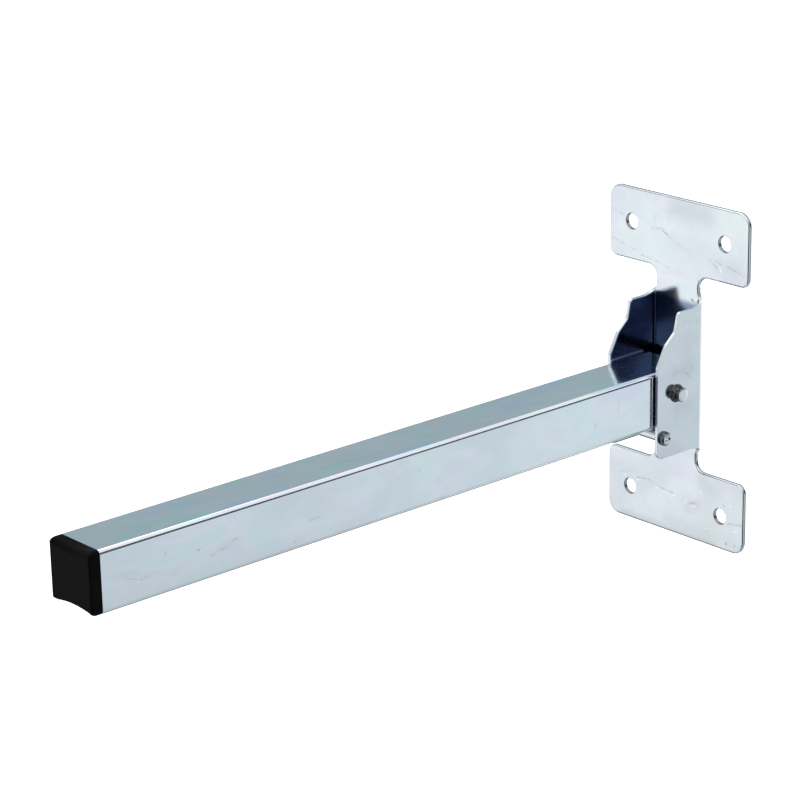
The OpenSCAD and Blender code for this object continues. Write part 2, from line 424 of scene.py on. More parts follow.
# Small painted highlights: bright marks painted where the plate catches the light.
SHEET_PAINTED_GLINTS = (
    *across_plate(((-24.3, 50.1), (-24.9, 48.4)), 0.70, 0.54),
    *across_plate(((22.3, -56.6), (20.8, -56.5)), 0.60, 0.48),
    *across_plate(((10.8, -57.3), (9.8, -57.3)), 0.60, 0.48),
    *across_plate(((6.6, -58.0), (5.4, -58.0)), 0.60, 0.42),
    *across_plate(((0.9, -58.2), (0.3, -58.0)), 0.80, 0.48),
    *across_plate(((-9.4, -60.8), (-12.3, -60.0)), 0.60, 0.54),
    *across_plate(((-6.4, -60.2), (-7.0, -58.0)), 0.60, 0.36),
    *across_plate(((-15.6, -52.9), (-15.9, -52.9)), 1.00, 0.42),
    *across_plate(((-34.6, -65.7), (-36.8, -64.9)), 0.60, 0.48),
    *across_plate(((-18.9, -68.7), (-19.1, -68.7)), 0.80, 0.48),
    *across_plate(((-32.4, -54.8), (-33.2, -54.6)), 0.80, 0.42),
    *across_plate(((30.6, -56.4), (29.4, -56.0)), 0.70, 0.42),
)


def strongest(masks: Sequence[Wire]) -> Wire:
    """The largest of several masks at each place.

    Args:
        masks: The masks, one or more.

    Returns:
        Their largest value.
    """
    result = masks[0]
    for mask in masks[1:]:
        result = result.over(mask)
    return result


@dataclass(frozen=True)
class Wear:
    """Marks on a finish: dull scuffs, small painted highlights, dark lines of painted shade and soft darker
    patches.
    """

    scuffs: tuple[Stroke, ...] = ()
    painted_glints: tuple[Stroke, ...] = ()
    shade_lines: tuple[Stroke, ...] = ()
    patches: tuple[Stroke, ...] = ()


@dataclass
class Skin:
    """The parts of a finish while it is being put together."""

    colour: Wire
    rough: Wire
    height: Wire


@dataclass(frozen=True)
class BrightZinc:
    """Bright zinc plate with a thin passivated film."""

    name: str
    tint: Colour
    rough: float
    stretch: Point = (1.0, 1.0, 1.0)
    wave: float = 0.003
    film: float = 1.0
    wear: Wear = Wear()
    cloud_waves: float = 40.0
    film_waves: float = 60.0
    swell_waves: float = 55.0
    grain_waves: float = 420.0
    grain_depth: float = 0.0006
    scratch_depth: float = 0.02
    # The bright tint of the painted highlights.
    glint_highlight: Colour = (0.90, 0.93, 0.95)

    def build(self) -> bpy.types.Material:
        """Makes the material.

        Returns:
            The material.
        """
        material = bpy.data.materials.new(self.name)
        material.use_nodes = True
        make = NodeMaker(material.node_tree)
        place = make.place()
        skin = self._plating(make, place)
        self._local(make, place, skin)
        self._wear(make, place, skin)
        shader = make.add(
            "ShaderNodeBsdfPrincipled",
            {},
            {
                "Base Color": skin.colour,
                "Metallic": 1.0,
                "Roughness": skin.rough.clamped(),
                "Normal": make.bump(skin.height),
            },
        )
        make.add("ShaderNodeOutputMaterial", {}, {"Surface": shader.outputs[0]})
        return material

    def _plating(self, make: NodeMaker, place: Wire) -> Skin:
        """The clean plate: a clouded film with fine grain and faint waves.

        Args:
            make: The material's node maker.
            place: The point on the object, in metres.

        Returns:
            Its parts.
        """
        drawn = make.vector("MULTIPLY", place, self.stretch)
        cloud = make.noise(drawn, self.cloud_waves, 4.0, 0.5, 0.6)
        film = make.noise(drawn, self.film_waves, 2.0, 0.5, 0.6)
        grain = make.noise(drawn, self.grain_waves, 3.0, 0.6) - 0.5
        stops = (
            (0.32, self._film(0.06, 0.07, 0.0)),
            (0.46, self._film(0.0, 0.0, 0.0)),
            (0.56, self._film(0.07, 0.01, 0.01)),
            (0.70, self._film(0.02, 0.0, 0.04)),
        )
        dull = cloud.ramp(0.36, 0.68)
        colour = make.mix(dull * 0.8, make.tones(film, stops), self._shade(0.89, 0.90, 0.93))
        rough = self.rough + dull * 0.05 + grain * 0.05
        swell = make.noise(drawn, self.swell_waves, 1.0, 0.4)
        height = swell * (self.wave * MM) + grain * (self.grain_depth * MM)
        return Skin(colour, rough, height)

    def _local(self, make: NodeMaker, place: Wire, skin: Skin) -> None:
        """Changes the finish in one part of the object, where its tone differs or where shade is painted. A
        plain finish has no such part.
        """

    def _wear(self, make: NodeMaker, place: Wire, skin: Skin) -> None:
        """Adds the marks.

        Args:
            make: The material's node maker.
            place: The point on the object, in metres.
            skin: The finish so far, which is changed.
        """
        if self.wear.patches:
            soft = strongest([s.mask(make, place) for s in self.wear.patches])
            skin.colour = make.mix(soft, skin.colour, self._shade(0.70, 0.71, 0.74))
        if self.wear.scuffs:
            marks = strongest([s.mask(make, place) for s in self.wear.scuffs])
            broken = (marks * (0.25 + make.noise(place, 900.0, 2.0, 0.6).ramp(0.42, 0.62))).clamped()
            skin.colour = make.mix(broken, skin.colour, self._shade(0.62, 0.65, 0.68))
            skin.rough = skin.rough + broken * 0.3
            skin.height = skin.height - broken * (self.scratch_depth * MM)
        # Painted shade: dark lines along edges, necks and a fold's start.
        if self.wear.shade_lines:
            dark = strongest([s.mask(make, place) for s in self.wear.shade_lines])
            skin.colour = make.mix(dark, skin.colour, self._shade(0.10, 0.11, 0.12))
            skin.rough = skin.rough + dark * 0.2
        # Painted highlights: these marks lighten the colour towards a bright tint.
        if self.wear.painted_glints:
            bright = strongest([s.mask(make, place) for s in self.wear.painted_glints])
            skin.colour = make.mix(bright, skin.colour, self.glint_highlight)

    def _film(self, *losses: float) -> Colour:
        """The tint less what the film takes from each of its parts."""
        return self._shade(*(1.0 - self.film * loss for loss in losses))

    def _shade(self, *factors: float) -> Colour:
        """The tint with each of its parts taken times a factor."""
        return tuple(t * f for t, f in zip(self.tint, factors))


@dataclass(frozen=True)
class FoldedZinc(BrightZinc):
    """The bracket's plate: painted shade, tinted blue, on the inner faces between the ears and in the two
    bends, and dull round the punched holes.
    """

    screw: Flat = (SCREW_ACROSS / 2, SCREW_UP / 2)
    rim_r: float = 4.05
    inner_face: float = 13.1
    ear_top: float = 30.0
    # Painted shade between the ears, tinted blue as a painted reflection of the dark surroundings.
    channel_shade: Colour = (0.34, 0.39, 0.53)
    # Painted shade in the inner corners of the two bends.
    bend: Colour = (0.15, 0.16, 0.18)
    rim: Colour = (0.40, 0.42, 0.43)

    def _local(self, make: NodeMaker, place: Wire, skin: Skin) -> None:
        """Deepens the channel's inner faces and its two bends, and dulls the rims of the screw holes.

        Args:
            make: The material's node maker.
            place: The point on the object, in metres.
            skin: The finish so far, which is changed.
        """
        x, y, z = make.axes(place)
        beside, height = y.size(), z.size()
        between = beside.ramp_mm(self.inner_face + 0.3, self.inner_face)
        low = height.ramp_mm(self.ear_top + 3, self.ear_top).over(x.ramp_mm(-2.8, -3.3))
        # Painted shade on the inner faces between the ears, with a blue painted reflection.
        inside = between * x.ramp_mm(-1.2, -1.7) * low
        skin.colour = make.mix(inside, skin.colour, self.channel_shade, "MULTIPLY")
        # Painted shade in the two bends' inner corners.
        turn = beside.ramp_mm(11.7, 12.1) * x.ramp_mm(-3.3, -2.7) * x.ramp_mm(-1.2, -1.8)
        corner = between * turn * height.ramp_mm(self.ear_top + 3, self.ear_top + 1)
        skin.colour = make.mix(corner, skin.colour, self.bend, "MULTIPLY")
        hole = (self.screw[0] * MM, self.screw[1] * MM, 0.0)
        away = make.vector("DISTANCE", make.joined(beside, height, 0.0), hole, "Value")
        round_hole = away.ramp_mm(self.rim_r, self.rim_r - 0.45)
        skin.colour = make.mix(round_hole * 0.75, skin.colour, self.rim, "MULTIPLY")
        skin.rough = skin.rough + round_hole * 0.12


@dataclass(frozen=True)
class DrawnZinc(BrightZinc):
    """The tube's plate, whose film shows its colours most on the tube's top."""

    top: float = 6.5
    hue_waves: float = 62.0
    hue_stretch: Point = (0.45, 1.2, 1.0)
    green: Colour = (0.86, 1.0, 0.97)
    clear: Colour = (1.0, 1.0, 1.0)
    rose: Colour = (1.08, 0.97, 0.99)
    blue: Colour = (0.92, 0.97, 1.08)

    def _local(self, make: NodeMaker, place: Wire, skin: Skin) -> None:
        """Colours the film along the tube's top.

        Args:
            make: The material's node maker.
            place: The point on the object, in metres.
            skin: The finish so far, which is changed.
        """
        _, _, z = make.axes(place)
        drawn = make.vector("MULTIPLY", place, self.hue_stretch)
        film = make.noise(drawn, self.hue_waves, 2.0, 0.5, 0.4)
        hue = make.tones(film, ((0.36, self.green), (0.48, self.clear), (0.56, self.rose), (0.66, self.blue)))
        above = z.ramp_mm(self.top - 1.0, self.top - 0.1)
        skin.colour = make.mix(above, skin.colour, hue, "MULTIPLY")


@dataclass(frozen=True)
class Head:
    """A pin's head: its centre as (x, z), where its dark side of painted shade and dirt starts and is full,
    and how dark that is.
    """

    centre: Flat
    start: float
    full: float
    depth: float


@dataclass(frozen=True)
class HeadSteel(BrightZinc):
    """The pins' steel: bright in the middle of their heads, and dark round them with painted shade and dirt.
    """

    heads: tuple[Head, ...] = (Head(PIVOT, 2.6, 3.0, 0.80), Head(STOP, 2.0, 2.7, 0.72))
    reach: float = 6.0
    # Painted shade and dirt on the heads' sides.
    grime_and_shade: Colour = (0.015, 0.016, 0.013)

    def _local(self, make: NodeMaker, place: Wire, skin: Skin) -> None:
        """Paints shade and dirt on the heads' sides, as a dark band round each head.

        Args:
            make: The material's node maker.
            place: The point on the object, in metres.
            skin: The finish so far, which is changed.
        """
        x, y, z = make.axes(place)
        outside = y.size().ramp_mm(EAR_OUT - 0.1, EAR_OUT + 0.05)
        seen_flat = make.joined(x, z, 0.0)
        smear = make.noise(place, 1300.0, 3.0, 0.6).ramp(0.35, 0.62)
        for head in self.heads:
            centre = (head.centre[0] * MM, head.centre[1] * MM, 0.0)
            away = make.vector("DISTANCE", seen_flat, centre, "Value")
            near = away.ramp_mm(self.reach, self.reach - 0.5) * outside
            side = away.ramp_mm(head.start, head.full) * near
            # Painted shade and dirt: a dark band on each head's side, made uneven by the noise.
            skin.colour = make.mix(side * (head.depth + 0.2 * smear), skin.colour, self.grime_and_shade)
            skin.rough = skin.rough + side * 0.12


@dataclass(frozen=True)
class MouldedPlastic:
    """Black moulded plastic with a fine satin skin."""

    name: str
    tint: Colour
    rough: float
    skin_waves: float = 2600.0
    skin_depth: float = 0.006
    flow_waves: float = 90.0
    flow_depth: float = 0.02
    gloss: float = 0.03

    def build(self) -> bpy.types.Material:
        """Makes the material.

        Returns:
            The material.
        """
        material = bpy.data.materials.new(self.name)
        material.use_nodes = True
        make = NodeMaker(material.node_tree)
        place = make.place()
        skin = make.noise(place, self.skin_waves, 2.0, 0.6)
        flow = make.noise(place, self.flow_waves, 3.0, 0.5)
        colour = make.mix(flow.ramp(0.4, 0.7), self.tint, tuple(1.5 * t for t in self.tint))
        height = (skin - 0.5) * (self.skin_depth * MM) + flow * (self.flow_depth * MM)
        shader = make.add(
            "ShaderNodeBsdfPrincipled",
            {},
            {
                "Base Color": colour,
                "Roughness": self.rough + (flow - 0.5) * 0.1,
                "Specular IOR Level": self.gloss,
                "Normal": make.bump(height),
            },
        )
        make.add("ShaderNodeOutputMaterial", {}, {"Surface": shader.outputs[0]})
        return material


def rounded_path(corners: Sequence[Corner], step: float = 9.0) -> list[Flat]:
    """Rounds the corners of an outline.

    Args:
        corners: Each corner as (across, up, radius), in millimetres.
        step: The largest turn between two points on an arc, in degrees.

    Returns:
        The outline's points, in order.
    """
    points: list[Flat] = []
    count = len(corners)
    for i, (across, up, radius) in enumerate(corners):
        here = Vector((across, up))
        before = (Vector(corners[i - 1][:2]) - here).normalized()
        after = (Vector(corners[(i + 1) % count][:2]) - here).normalized()
        half = before.angle(after) / 2
        centre = here + (before + after).normalized() * (radius / math.sin(half))
        start = here + before * (radius / math.tan(half)) - centre
        turn = math.pi - 2 * half
        if before.x * after.y - before.y * after.x > 0:
            turn = -turn
        parts = max(2, math.ceil(abs(math.degrees(turn)) / step))
        for k in range(parts + 1):
            spun = Matrix.Rotation(turn * k / parts, 2) @ start
            points.append(tuple(centre + spun))
    return points


def circle(across: float, up: float, radius: float, parts: int = 56) -> list[Flat]:
    """A circle as a closed outline that runs clockwise, so that it bounds a hole."""
    turns = [-2 * math.pi * k / parts for k in range(parts)]
    return [(across + radius * math.cos(a), up + radius * math.sin(a)) for a in turns]


def outward(points: Sequence[Flat]) -> list[Vector]:
    """The sideways direction at each point of an outline, scaled so that an offset along it is even.

    Args:
        points: The outline's points, anticlockwise.

    Returns:
        The direction at each point, away from what the outline bounds.
    """
    result = []
    for i, point in enumerate(points):
        ahead = (Vector(points[(i + 1) % len(points)]) - Vector(point)).normalized()
        behind = (Vector(point) - Vector(points[i - 1])).normalized()
        sides = Vector((ahead.y, -ahead.x)), Vector((behind.y, -behind.x))
        middle = (sides[0] + sides[1]).normalized()
        result.append(middle / max(middle.dot(sides[0]), 0.3))
    return result


@dataclass
class Sheet:
    """A flat blank with rounded edges, which is then folded. Sizes are in millimetres."""

    thickness: float
    fold_radius: float
    neck: float
    fold_up: float
    back_edge: float
    steps: int = 4
    fold_cuts: int = 10

    def profile(self, front_edge: float) -> list[tuple[float, float, float, float]]:
        """The edge's section, from the front face round to the back face.

        Args:
            front_edge: How far the edge is rounded in front.

        Returns:
            For each point how far in it lies, its height, and its normal's parts outward and up.
        """
        front = self._arc(front_edge, -1)
        return front[::-1] + self._arc(self.back_edge, 1)

    def _arc(self, radius: float, side: int) -> list[tuple[float, float, float, float]]:
        """One rounded corner of the edge's section, from its outermost point to a face.

        Args:
            radius: Its radius.
            side: -1 at the front face, 1 at the back face.

        Returns:
            Its points, as profile gives them.
        """
        centre = side * (self.thickness / 2 - radius)
        points = []
        for k in range(self.steps + 1):
            turn = math.pi / 2 * k / self.steps
            out, up = math.cos(turn), side * math.sin(turn)
            points.append((radius * (1 - out), centre + radius * up, out, up))
        return points

    def mesh(self, name: str, loops: Sequence[tuple[Sequence[Flat], float]]) -> bpy.types.Mesh:
        """Makes the folded sheet.

        Args:
            name: The mesh's name.
            loops: The blank's outline, anticlockwise, and those of its holes, clockwise, each with how
                far its edge is rounded in front.

        Returns:
            The mesh, in metres, with its own normals. The cut edges of its folded sides are in the
            second slot, and its other cut edges in the third.
        """
        work = bmesh.new()
        layer = work.verts.layers.float_vector.new("edge_normal")
        edges = [self._rings(work, layer, loop, front_edge) for loop, front_edge in loops]
        for rings in edges:
            self._wall(work, rings)
        self._fill(work, [rings[0] for rings in edges], -1)
        self._fill(work, [rings[-1] for rings in edges], 1)
        self._cut_folds(work)
        normals = self._fold(work, layer)
        mesh = bpy.data.meshes.new(name)
        work.to_mesh(mesh)
        work.free()
        mesh.polygons.foreach_set("use_smooth", [True] * len(mesh.polygons))
        mesh.normals_split_custom_set_from_vertices(normals)
        return mesh

    def _rings(
        self, work: bmesh.types.BMesh, layer: object, loop: Sequence[Flat], front_edge: float
    ) -> list[list[bmesh.types.BMVert]]:
        """Adds the points of one cut edge.

        Args:
            work: The blank.
            layer: Where each point keeps its normal.
            loop: The outline.
            front_edge: How far its edge is rounded in front.

        Returns:
            A ring of points for each point of the section, from the front face to the back.
        """
        sides = outward(loop)
        rings = []
        for inset, height, out, up in self.profile(front_edge):
            ring = []
            for point, side in zip(loop, sides):
                spot = Vector(point) - side * inset
                away = side.normalized() * out
                vert = work.verts.new((spot.x, spot.y, height))
                vert[layer] = (away.x, away.y, up)
                ring.append(vert)
            rings.append(ring)
        return rings

    def _wall(self, work: bmesh.types.BMesh, rings: Sequence[Sequence[bmesh.types.BMVert]]) -> None:
        """Joins the rings of one cut edge by faces.

        Args:
            work: The blank.
            rings: The edge's rings of points.
        """
        for row, (low, high) in enumerate(zip(rings, rings[1:])):
            for i, vert in enumerate(low):
                face = work.faces.new((low[i - 1], vert, high[i], high[i - 1]))
                face.material_index = self._edge_slot(row, face)

    def _edge_slot(self, row: int, face: bmesh.types.BMFace) -> int:
        """Which finish a face of a cut edge has.

        Args:
            row: Its row, counted from the front face.
            face: The face.

        Returns:
            0 on the rounding in front, 1 on the folded sides and 2 on the plate.
        """
        if row < self.steps:
            return 0
        aside = min(abs(vert.co.x) for vert in face.verts) > self.neck / 2
        return 1 if aside and abs(face.verts[1].co.y) < self.fold_up else 2

    @staticmethod
    def _fill(
        work: bmesh.types.BMesh, rings: Sequence[Sequence[bmesh.types.BMVert]], side: int
    ) -> None:
        """Fills one face of the blank, from its outline to its holes.

        Args:
            work: The blank.
            rings: The points of the outline and of each hole on that face.
            side: -1 for the front face, 1 for the back face.
        """
        verts = [vert for ring in rings for vert in ring]
        for triangle in tessellate_polygon([[vert.co for vert in ring] for ring in rings]):
            face = work.faces.new([verts[i] for i in triangle])
            face.normal_update()
            if face.normal.z * side < 0:
                face.normal_flip()

    def _cut_folds(self, work: bmesh.types.BMesh) -> None:
        """Cuts the blank along each line where it will bend.

        Args:
            work: The flat blank.
        """
        length = self._neutral() * math.pi / 2
        for side in (-1, 1):
            for k in range(self.fold_cuts + 1):
                across = side * (self.neck / 2 + length * k / self.fold_cuts)
                parts = [*work.verts, *work.edges, *work.faces]
                line = {"plane_co": (across, 0, 0), "plane_no": (1, 0, 0)}
                bmesh.ops.bisect_plane(work, geom=parts, dist=1e-5, **line)

    def _neutral(self) -> float:
        """Radius of the sheet's middle in a fold."""
        return self.fold_radius + self.thickness / 2

    def _fold(self, work: bmesh.types.BMesh, layer: object) -> list[Vector]:
        """Bends the blank's two sides forward, except above and below where the folds end.

        Args:
            work: The flat blank, drawn across and up, with its back at the top.
            layer: Where each point keeps its normal.

        Returns:
            Each point's normal after the fold.
        """
        middle = self._neutral()
        length = middle * math.pi / 2
        centre = Vector((-self.fold_radius - self.thickness, self.neck / 2))
        normals = []
        for vert in work.verts:
            across, up, height = vert.co
            side = math.copysign(1.0, across)
            past = abs(across) - self.neck / 2
            flat = abs(up) > self.fold_up
            turn = 0.0 if flat else min(max(past / middle, 0.0), math.pi / 2)
            out = Vector((math.cos(turn), math.sin(turn)))
            along = Vector((-out.y, out.x))
            if flat:
                spot = Vector((height - self.thickness / 2, abs(across)))
            else:
                spot = centre + out * (middle + height) + along * (min(past, 0.0) + max(past - length, 0.0))
            kept = vert[layer]
            turned = out * kept.z + along * (kept.x * side)
            vert.co = Vector((spot.x, spot.y * side, up)) * MM
            normals.append(Vector((turned.x, turned.y * side, kept.y)).normalized())
        return normals


@dataclass
class Bracket:
    """The folded mounting bracket. Sizes are in millimetres and are those of the part's source.

    An ear's upper front edge, wave, is given by its corners: how far back from the ear's front and down from
    its top each lies, and its radius.
    """

    sheet_t: float = SHEET_T
    fold_r: float = 1.0
    plate_w: float = 80.0
    plate_h: float = 151.5
    head_h: float = 32.0
    head_outer_r: float = 6.0
    head_inner_r: float = 4.0
    neck_r: float = 5.0
    ear_out: float = EAR_OUT
    ear_reach: float = 28.7
    ear_h: float = 63.0
    ear_corner_r: float = 3.5
    flare_reach: float = 7.3
    flare_r: float = 4.5
    wave: tuple[Corner, ...] = ((0.0, 22.0, 3.5), (4.9, 12.9, 3.5), (10.6, 8.0, 3.5), (12.4, 0.0, 1.8))
    notch_up: float = 33.0
    fold_end: float = 4.0
    screw_d: float = 7.0
    screw_across: float = SCREW_ACROSS
    screw_up: float = SCREW_UP
    pin_holes: tuple[Corner, ...] = ((*PIVOT, 3.05), (*STOP, 1.55))
    front_edge: float = 0.75
    hole_edge: float = 0.3
    back_edge: float = 0.12

    def blank_across(self, reach: float) -> float:
        """Where a point of an ear lies on the flat blank.

        Args:
            reach: Its distance to the mounting face.

        Returns:
            Its distance to the blank's middle.
        """
        fold_out = self.fold_r + self.sheet_t
        arc = (self.fold_r + self.sheet_t / 2) * math.pi / 2
        return self.ear_out - fold_out + arc + reach - fold_out

    def outline(self) -> list[Flat]:
        """The blank's outline, anticlockwise.

        Returns:
            Its points.
        """
        neck = self.ear_out - self.fold_r - self.sheet_t
        top = self.plate_h / 2
        inner = top - self.head_h
        ear = self.ear_h / 2
        side = self.plate_w / 2
        ear_side = [
            (self.flare_reach, -ear, self.flare_r),
            (self.ear_reach, -ear, self.ear_corner_r),
            *((self.ear_reach - back, ear - down, radius) for back, down, radius in self.wave),
            (self.flare_reach, ear, self.flare_r),
        ]
        right = [
            (side, -top, self.head_outer_r),
            (side, -inner, self.head_inner_r),
            (neck, -inner, self.neck_r),
            (neck, -self.notch_up, self.neck_r),
            *((self.blank_across(reach), up, radius) for reach, up, radius in ear_side),
            (neck, self.notch_up, self.neck_r),
            (neck, inner, self.neck_r),
            (side, inner, self.head_inner_r),
            (side, top, self.head_outer_r),
        ]
        left = [(-across, up, radius) for across, up, radius in reversed(right)]
        return rounded_path(right + left)

    def holes(self) -> list[list[Flat]]:
        """The outlines of the screw holes and of the ears' pin holes.

        Returns:
            Each hole's points, clockwise.
        """
        across, up = self.screw_across / 2, self.screw_up / 2
        found = [circle(a * across, b * up, self.screw_d / 2) for a in (-1, 1) for b in (-1, 1)]
        for x, z, radius in self.pin_holes:
            found += [circle(side * self.blank_across(-x), z, radius, 32) for side in (-1, 1)]
        return found

    def build(self, *finishes: bpy.types.Material) -> bpy.types.Object:
        """Makes the bracket as a blank with rounded edges, folded on its two lines.

        Args:
            finishes: The materials of its faces, of the ears' cut edges, painted light, and of the plate's
                cut edges, painted shade.

        Returns:
            The piece.
        """
        neck = 2 * (self.ear_out - self.fold_r - self.sheet_t)
        fold_up = self.plate_h / 2 - self.head_h - self.fold_end
        sheet = Sheet(self.sheet_t, self.fold_r, neck, fold_up, self.back_edge)
        loops = [(self.outline(), self.front_edge)] + [(hole, self.hole_edge) for hole in self.holes()]
        mesh = sheet.mesh("folded_bracket", loops)
        for finish in finishes:
            mesh.materials.append(finish)
        return add_piece("folded_bracket", mesh, Body.BRACKET, ("mounting_bracket",))


@dataclass
class TurnedPin:
    """A pin through both ears, with the same head outside each.

    Its half section is given from the head's middle inward: radius, and height over the ear's outside.
    """

    name: str
    node: str
    centre: Flat
    half: tuple[Flat, ...]
    steps: int = 72

    def build(self, finish: bpy.types.Material) -> bpy.types.Object:
        """Makes the pin from its half section.

        Args:
            finish: Its material.

        Returns:
            The piece.
        """
        near = [(radius, -EAR_OUT - height) for radius, height in self.half]
        section = near + [(radius, -along) for radius, along in reversed(near)]
        work = bmesh.new()
        rings = [self._ring(work, radius, along) for radius, along in section[1:-1]]
        for low, high in zip(rings, rings[1:]):
            for i in range(self.steps):
                work.faces.new((low[i - 1], low[i], high[i], high[i - 1]))
        for ring, (_, along) in ((rings[0], section[0]), (rings[-1], section[-1])):
            tip = work.verts.new(self._spot(0.0, 0.0, along))
            for i in range(self.steps):
                work.faces.new((ring[i - 1], ring[i], tip))
        bmesh.ops.recalc_face_normals(work, faces=work.faces)
        mesh = bpy.data.meshes.new(self.name)
        work.to_mesh(mesh)
        work.free()
        mesh.polygons.foreach_set("use_smooth", [True] * len(mesh.polygons))
        mesh.set_sharp_from_angle(angle=math.radians(60))
        mesh.materials.append(finish)
        return add_piece(self.name, mesh, Body.BRACKET, (self.node,))

    def _spot(self, across: float, up: float, along: float) -> Vector:
        """A point by its place round the pin's axis and along it, in metres."""
        return Vector((self.centre[0] + across, along, self.centre[1] + up)) * MM

    def _ring(self, work: bmesh.types.BMesh, radius: float, along: float) -> list[bmesh.types.BMVert]:
        """Adds the points of one ring."""
        turns = [2 * math.pi * k / self.steps for k in range(self.steps)]
        return [work.verts.new(self._spot(radius * math.cos(a), radius * math.sin(a), along)) for a in turns]


PIVOT_RIVET = TurnedPin(
    "closed_rivet",
    "pivot_rivet",
    PIVOT,
    (
        *((0.0, 3.95), (1.6, 3.98), (2.5, 3.96), (2.8, 3.86), (3.0, 3.62), (3.08, 3.3)),
        *((3.12, 2.2), (3.25, 1.25), (3.5, 0.8), (3.8, 0.55), (3.95, 0.3), (4.0, 0.0)),
        (3.0, 0.0),
    ),
)
STOP_PIN = TurnedPin(
    "dimpled_stop_pin",
    "stop_pin",
    STOP,
    (
        *((0.0, 1.30), (0.4, 1.33), (0.8, 1.44), (1.15, 1.62), (1.4, 1.84), (1.6, 2.04), (1.8, 2.15)),
        *((2.05, 2.16), (2.35, 2.02), (2.65, 1.74), (2.9, 1.36), (3.05, 0.95), (3.1, 0.5), (3.05, 0.0)),
        *((1.5, 0.0), (1.5, -1.8), (2.0, -1.8)),
    ),
)


@dataclass
class FootCap:
    """The moulded cap on the leg's free end: its head, and the ribbed plug inside the tube."""

    leg_reach: float = 315.5
    tube_side: float = 25.0
    tube_r: float = 1.9
    tube_z: float = -6.0
    tube_wall: float = 1.5
    cap_t: float = 5.0
    edge_r: float = 3.0
    side_r: float = 1.0
    sink: float = 1.0
    plug_l: float = 20.0
    plug_gap: float = 0.9
    plug_wall: float = 1.6
    fin_gap: float = 0.1
    fin_t: float = 1.0
    fin_count: int = 4
    side_steps: int = 14
    corner_steps: int = 8
    edge_steps: int = 7

    def outline(self, half: float, corner: float) -> list[tuple[Vector, Vector]]:
        """A soft square round the tube's axis, seen from the free end.

        Args:
            half: Half of its side.
            corner: The radius of its corners.

        Returns:
            Each point and the outward direction there, as (across, up).
        """
        flat = half - corner
        found = []
        for quarter in range(4):
            turn = Matrix.Rotation(quarter * math.pi / 2, 2)
            for k in range(self.side_steps):
                spot = Vector((half, flat * (2 * k / self.side_steps - 1)))
                found.append((turn @ spot, turn @ Vector((1, 0))))
            for k in range(self.corner_steps):
                angle = math.pi / 2 * k / self.corner_steps
                way = Vector((math.cos(angle), math.sin(angle)))
                found.append((turn @ (Vector((flat, flat)) + way * corner), turn @ way))
        return found

    def plug_ring(self, past: float, half: float) -> list[Point]:
        """A ring of the plug, of a half side, at a distance inward from the tube's end."""
        return [(past - self.leg_reach, *spot) for spot, _ in self.outline(half, self.plug_gap)]

    def head_ring(self, turn: float, back: bool = False) -> list[Point]:
        """A ring of the head, whose top and underside are sunk between their corners.

        Args:
            turn: How far it lies round the face's soft edge, from 0 on the sides to a right angle.
            back: Whether it lies at the tube's end instead.

        Returns:
            Its points.
        """
        flat = self.tube_side / 2 - self.tube_r
        points = []
        for spot, way in self.outline(self.tube_side / 2, self.tube_r):
            radius = self.side_r + (self.edge_r - self.side_r) * way.y**2
            dip = self.sink * max(0.0, 1.0 - (spot.x / flat) ** 2) * way.y
            inner = spot - way * (radius * (1 - math.cos(turn))) - Vector((0, dip))
            ahead = 0.0 if back else radius * (1 - math.sin(turn)) - self.cap_t
            points.append((ahead - self.leg_reach, *inner))
        return points

    def rings(self) -> list[list[Point]]:
        """All the rings of the cap.

        Returns:
            Each ring's points, from the plug's hollow round to the head's face.
        """
        plug = self.tube_side / 2 - self.tube_wall - self.plug_gap
        fin = self.tube_side / 2 - self.tube_wall - self.fin_gap
        step = self.plug_l / self.fin_count
        hollow = plug - self.plug_wall
        found = [self.plug_ring(0.0, hollow), self.plug_ring(self.plug_l, hollow)]
        for i in range(self.fin_count, 0, -1):
            found += [self.plug_ring(i * step, fin), self.plug_ring(i * step - self.fin_t, fin)]
            found += [self.plug_ring(i * step - self.fin_t, plug), self.plug_ring((i - 1) * step, plug)]
        found.append(self.head_ring(0.0, back=True))
        found += [self.head_ring(math.pi / 2 * k / self.edge_steps) for k in range(self.edge_steps + 1)]
        return found

    def build(self, finish: bpy.types.Material) -> bpy.types.Object:
        """Makes the cap.

        Args:
            finish: Its material.

        Returns:
            The piece.
        """
        work = bmesh.new()
        shift = Vector((0.0, 0.0, self.tube_z))
        rows = [[work.verts.new((Vector(spot) + shift) * MM) for spot in ring] for ring in self.rings()]
        for low, high in zip(rows, rows[1:]):
            for i, vert in enumerate(low):
                work.faces.new((low[i - 1], vert, high[i], high[i - 1]))
        work.faces.new(rows[0])
        work.faces.new(rows[-1])
        bmesh.ops.recalc_face_normals(work, faces=work.faces)
        mesh = bpy.data.meshes.new("soft_foot_cap")
        work.to_mesh(mesh)
        work.free()
        mesh.polygons.foreach_set("use_smooth", [True] * len(mesh.polygons))
        mesh.set_sharp_from_angle(angle=math.radians(40))
        mesh.materials.append(finish)
        piece = add_piece("soft_foot_cap", mesh, Body.LEG, ("foot_cap",))
        even = piece.modifiers.new("even_shading", "WEIGHTED_NORMAL")
        even.keep_sharp = True
        return piece


def add_piece(
    name: str, mesh: bpy.types.Mesh, body: Body, nodes: Sequence[str] = ()
) -> bpy.types.Object:
    """Puts a mesh into the scene as a piece of the object.

    Args:
        name: The piece's name.
        mesh: Its mesh, in metres, in the row frame.
        body: The body that it moves with.
        nodes: The CAD nodes that it stands for.

    Returns:
        The piece.
    """
    piece = bpy.data.objects.new(name, mesh)
    bpy.context.scene.collection.objects.link(piece)
    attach(piece, body.value)
    if nodes:
        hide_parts(*nodes)
    LOG.info("%s: %d faces", name, len(mesh.polygons))
    return piece


